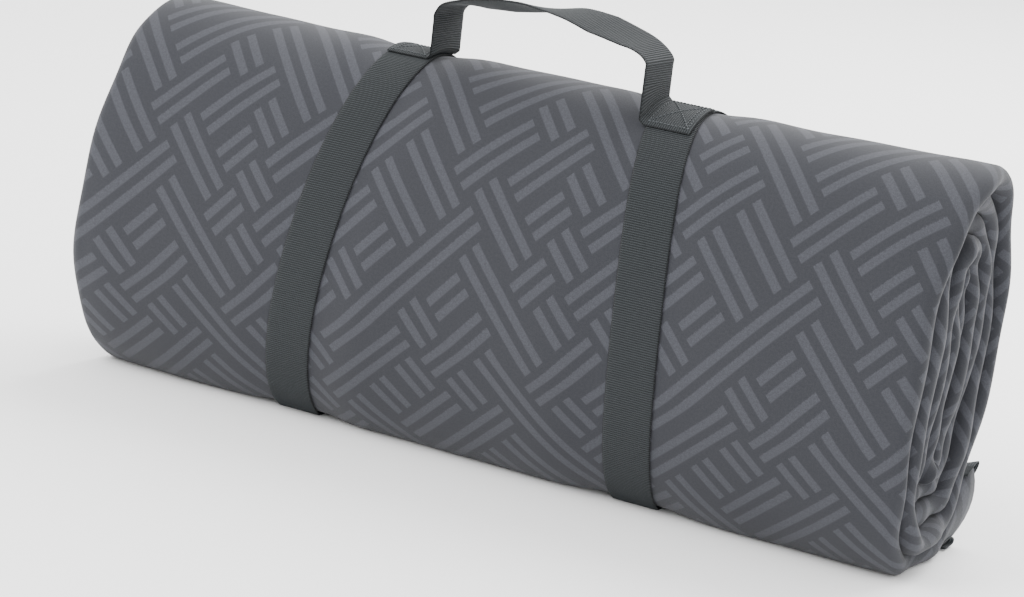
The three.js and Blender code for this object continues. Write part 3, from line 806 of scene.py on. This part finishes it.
def smooth_path(points, steps):
    """Centripetal curve through the points, as rows of [a, b]."""
    points = np.array(points, float)
    out = []
    padded = np.vstack([2 * points[0] - points[1], points, 2 * points[-1] - points[-2]])
    for i in range(1, len(padded) - 2):
        p0, p1, p2, p3 = padded[i - 1:i + 3]
        t1 = np.linalg.norm(p1 - p0) ** 0.5
        t2 = t1 + np.linalg.norm(p2 - p1) ** 0.5
        t3 = t2 + np.linalg.norm(p3 - p2) ** 0.5
        for t in np.linspace(t1, t2, steps, endpoint=False):
            a1 = (t1 - t) / t1 * p0 + t / t1 * p1
            a2 = (t2 - t) / (t2 - t1) * p1 + (t - t1) / (t2 - t1) * p2
            a3 = (t3 - t) / (t3 - t2) * p2 + (t - t2) / (t3 - t2) * p3
            b1 = (t2 - t) / t2 * a1 + t / t2 * a2
            b2 = (t3 - t) / (t3 - t1) * a2 + (t - t1) / (t3 - t1) * a3
            out.append((t2 - t) / (t2 - t1) * b1 + (t - t1) / (t2 - t1) * b2)
    out.append(points[-1])
    return np.array(out)


def handle_point(along, across, up):
    x = HANDLE_MIDDLE.x + along * math.cos(SKEW) - across * math.sin(SKEW)
    y = HANDLE_MIDDLE.y + along * math.sin(SKEW) + across * math.cos(SKEW)
    return np.stack(np.broadcast_arrays(x, y, up), axis=-1)


def patch_rows(direction, count=40):
    """Rows of points from the patch's far edge in to the foot of the leg."""
    root = direction * HANDLE_SPAN / 2
    side = ACROSS * WEBBING_WIDTH / 2
    edge = handle_point(root, side, 0.0)
    centre = handle_point(root, 0.0, 0.0)
    far = centre[0] + direction * WEBBING_WIDTH
    rows = []
    for share in np.linspace(0, 0.93, count):
        x = far + (edge[:, 0] - far) * share
        rows.append(np.stack([x, edge[:, 1], top_height(edge[:, 1], SECOND_LAYER)], axis=-1))
    return np.array(rows)


def add_handle():
    """One length of webbing: sewn patch, leg, twisted arch, leg and sewn patch."""
    half_span = HANDLE_SPAN / 2 - WEBBING / 2
    side = ACROSS * WEBBING_WIDTH / 2
    legs = [0.006, 0.013, 0.020, HANDLE_RISE - LEG_DROP - 0.004, HANDLE_RISE - LEG_DROP]
    left = [(-half_span, ROLL_TOP + z) for z in legs]
    right = [(half_span, ROLL_TOP + z) for z in legs[::-1]]
    arch = [(share * half_span, ARCH_TOP - drop * 0.001) for share, drop in ARCH]
    path = smooth_path(left + arch + right, 12)
    twist = np.radians(np.interp(path[:, 0] / half_span, [t[0] for t in TWIST], [t[1] for t in TWIST]))
    high = np.clip((path[:, 1] - ROLL_TOP - 0.03) / 0.02, 0, 1)
    twist = twist * high
    lean_along = np.gradient(path[:, 0]), np.gradient(path[:, 1])
    size = np.hypot(*lean_along)
    normal = np.stack([-lean_along[1] / size, lean_along[0] / size], axis=-1)
    rows = []
    left_patch, right_patch = patch_rows(-1), patch_rows(1)
    root_height = ROLL_TOP + legs[0]
    for (along, up), turn, out in zip(path, twist, normal):
        across = side * math.cos(turn)
        lifted = side * math.sin(turn)
        curve = 1 - np.clip((up - root_height) / 0.012, 0, 1)
        bed = top_height(handle_point(along, side, 0.0)[:, 1], SECOND_LAYER) - ROLL_TOP - SECOND_LAYER
        rows.append(handle_point(along + lifted * out[0], across, up + lifted * out[1] + curve * bed))
    points = np.concatenate([left_patch, np.array(rows), right_patch[::-1]])
    webbing = ribbon("handle_webbing", evenly(points, RIB_PITCH / RIB_ROWS), WEBBING_CLOTH)
    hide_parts("handle_grip", "handle_left_end", "handle_right_end")
    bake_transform(webbing)


# ---- Stitches ------------------------------------------------------------------------------------------
def make_stitch_tree():
    """Puts one plump stitch at every pitch along the curves it is given."""
    tree, inside, outside = new_group(
        "stitch_row", "GeometryNodeTree",
        [("Curves", "NodeSocketGeometry", None), ("Pitch", "NodeSocketFloat", 0.0028),
         ("Thread", "NodeSocketFloat", 0.00045), ("Material", "NodeSocketMaterial", None)],
        [("Stitches", "NodeSocketGeometry")])
    wires = Wires(tree)
    resample = wires.node("GeometryNodeResampleCurve", mode="LENGTH")
    wires.link(inside.outputs["Curves"], resample.inputs["Curve"])
    wires.link(inside.outputs["Pitch"], resample.inputs["Length"])
    turn = wires.node("FunctionNodeAlignRotationToVector", axis="Z")
    wires.link(wires.node("GeometryNodeInputTangent").outputs[0], turn.inputs["Vector"])
    stitch = wires.node("GeometryNodeMeshUVSphere")
    stitch.inputs["Segments"].default_value = 6
    stitch.inputs["Rings"].default_value = 5
    wires.link(inside.outputs["Thread"], stitch.inputs["Radius"])
    stretch = wires.node("GeometryNodeTransform")
    wires.link(stitch.outputs["Mesh"], stretch.inputs["Geometry"])
    stretch.inputs["Scale"].default_value = (1.0, 1.0, 2.7)
    copies = wires.node("GeometryNodeInstanceOnPoints")
    wires.link(resample.outputs["Curve"], copies.inputs["Points"])
    wires.link(stretch.outputs["Geometry"], copies.inputs["Instance"])
    wires.link(turn.outputs["Rotation"], copies.inputs["Rotation"])
    real = wires.node("GeometryNodeRealizeInstances")
    wires.link(copies.outputs[0], real.inputs[0])
    smooth = wires.node("GeometryNodeSetShadeSmooth")
    wires.link(real.outputs[0], smooth.inputs["Geometry"])
    coloured = wires.node("GeometryNodeSetMaterial")
    wires.link(smooth.outputs[0], coloured.inputs["Geometry"])
    wires.link(inside.outputs["Material"], coloured.inputs["Material"])
    wires.link(coloured.outputs[0], outside.inputs["Stitches"])
    return tree


STITCH_TREE = make_stitch_tree()


def stitches(name, rows, pitch=0.0028, thread=0.00045):
    """Real stitches along each row of points, as one plain mesh."""
    curve = bpy.data.curves.new(name + "_rows", "CURVE")
    curve.dimensions = "3D"
    for row in rows:
        spline = curve.splines.new("POLY")
        spline.points.add(len(row) - 1)
        spline.points.foreach_set("co", np.c_[row, np.ones(len(row))].ravel())
    holder = bpy.data.objects.new(name + "_rows", curve)
    bpy.context.scene.collection.objects.link(holder)
    modifier = holder.modifiers.new("stitch", "NODES")
    modifier.node_group = STITCH_TREE
    named = {item.name: item.identifier for item in STITCH_TREE.interface.items_tree
             if item.in_out == "INPUT"}
    modifier[named["Pitch"]] = pitch
    modifier[named["Thread"]] = thread
    modifier[named["Material"]] = THREAD
    graph = bpy.context.evaluated_depsgraph_get()
    graph.update()
    mesh = bpy.data.meshes.new_from_object(holder.evaluated_get(graph))
    bpy.data.objects.remove(holder)
    piece = bpy.data.objects.new(name, mesh)
    bpy.context.scene.collection.objects.link(piece)
    return piece


def patch_stitching(side, direction):
    """Box and cross on a sewn patch, clear of the leg."""
    grid = patch_rows(direction, 40)
    inset = 0.0032
    over = SECOND_LAYER + WEBBING / 2 + 0.0002

    def row(a, b):
        points = []
        for t in np.linspace(0, 1, 40):
            u, v = a[0] + (b[0] - a[0]) * t, a[1] + (b[1] - a[1]) * t
            y = HANDLE_MIDDLE.y + direction * HANDLE_SPAN / 2 * math.sin(SKEW) + v * WEBBING_WIDTH / 2
            far = grid[0, 6, 0]
            near = grid[-1, 0, 0] + (grid[-1, -1, 0] - grid[-1, 0, 0]) * (v + 1) / 2
            points.append((far + (near - far) * u, y, float(top_height(np.array([y]), over)[0])))
        return points
    edge_v = 1 - inset / (WEBBING_WIDTH / 2)
    edge_u = inset / WEBBING_WIDTH
    corners = [(edge_u, -edge_v), (1 - edge_u, -edge_v), (1 - edge_u, edge_v), (edge_u, edge_v)]
    rows = [row(corners[i], corners[(i + 1) % 4]) for i in range(4)]
    rows += [row(corners[0], corners[2]), row(corners[1], corners[3])]
    rows.append(row((edge_u * 1.9, -edge_v), (edge_u * 1.9, edge_v)))
    piece = stitches(f"handle_{side}_box_stitch", rows)
    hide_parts(f"handle_{side}_stitching")
    finish_piece(piece, "roll")


def tape_stitching():
    """A seam line along each leaf-end tape."""
    xs = np.linspace(LEFT_END + 0.002, RIGHT_END - 0.008, 240)
    rows = []
    for edge, depth in ((OUTER_LEAF_SHORT, -0.0012), (0.0, STACK + 0.0012)):
        turns = np.full(len(xs), edge + (TAPE_COVER - 0.002) / 0.62)
        rows.append(place(turns, depth, shifted_x(xs, turns), edge))
    piece = stitches("leaf_end_stitching", rows, 0.0032, 0.0004)
    finish_piece(piece, "roll")


# ---- Floor, light and camera ------------------------------------------------------------------------------
def add_stage():
    bpy.ops.mesh.primitive_plane_add(size=14, location=(0, 0, 0))
    floor = bpy.context.object
    floor.name = "floor"
    material = bpy.data.materials.new("pale_floor")
    material.use_nodes = True
    shader = material.node_tree.nodes["Principled BSDF"]
    shader.inputs["Base Color"].default_value = (0.97, 0.97, 0.97, 1)
    shader.inputs["Roughness"].default_value = 0.9
    floor.data.materials.append(material)
    world = bpy.data.worlds.new("soft_white")
    world.use_nodes = True
    world.node_tree.nodes["Background"].inputs["Color"].default_value = (1, 1, 1, 1)
    world.node_tree.nodes["Background"].inputs["Strength"].default_value = 1.75
    bpy.context.scene.world = world
    lamps = (("key", (-1.2, -1.6, 2.4), 1.8, 90), ("back", (0.4, 1.8, 2.2), 2.2, 150))
    for name, place_at, size, power in lamps:
        lamp = bpy.data.lights.new(name, "AREA")
        lamp.size = size
        lamp.energy = power
        holder = bpy.data.objects.new(name, lamp)
        holder.location = place_at
        holder.rotation_euler = (Vector((0, 0, 0.1)) - Vector(place_at)).to_track_quat("-Z", "Y").to_euler()
        bpy.context.scene.collection.objects.link(holder)


def add_camera():
    """Eye at the front right, a little above, turned slightly so that the roll runs down to the right."""
    ahead = Vector((-0.4507, 0.8562, -0.2526)).normalized()
    up = Vector((-0.2180, 0.1688, 0.9612)).normalized()
    right = ahead.cross(up).normalized()
    up = right.cross(ahead)
    camera = bpy.data.cameras.new("camera")
    camera.lens = 108.4
    camera.sensor_width = 36
    holder = bpy.data.objects.new("camera", camera)
    turn = Matrix((right, up, -ahead)).transposed().to_4x4()
    holder.matrix_world = Matrix.Translation((1.0238, -1.9652, 0.6964)) @ turn
    bpy.context.scene.collection.objects.link(holder)
    bpy.context.scene.camera = holder


add_camera()
add_stage()
add_blanket()
add_bindings()
for strap_side, strap_line in (("left", LEFT_STRAP), ("right", RIGHT_STRAP)):
    add_strap(strap_side, strap_line)
    add_tail(strap_side, strap_line)
add_handle()
patch_stitching("left", -1)
patch_stitching("right", 1)
tape_stitching()
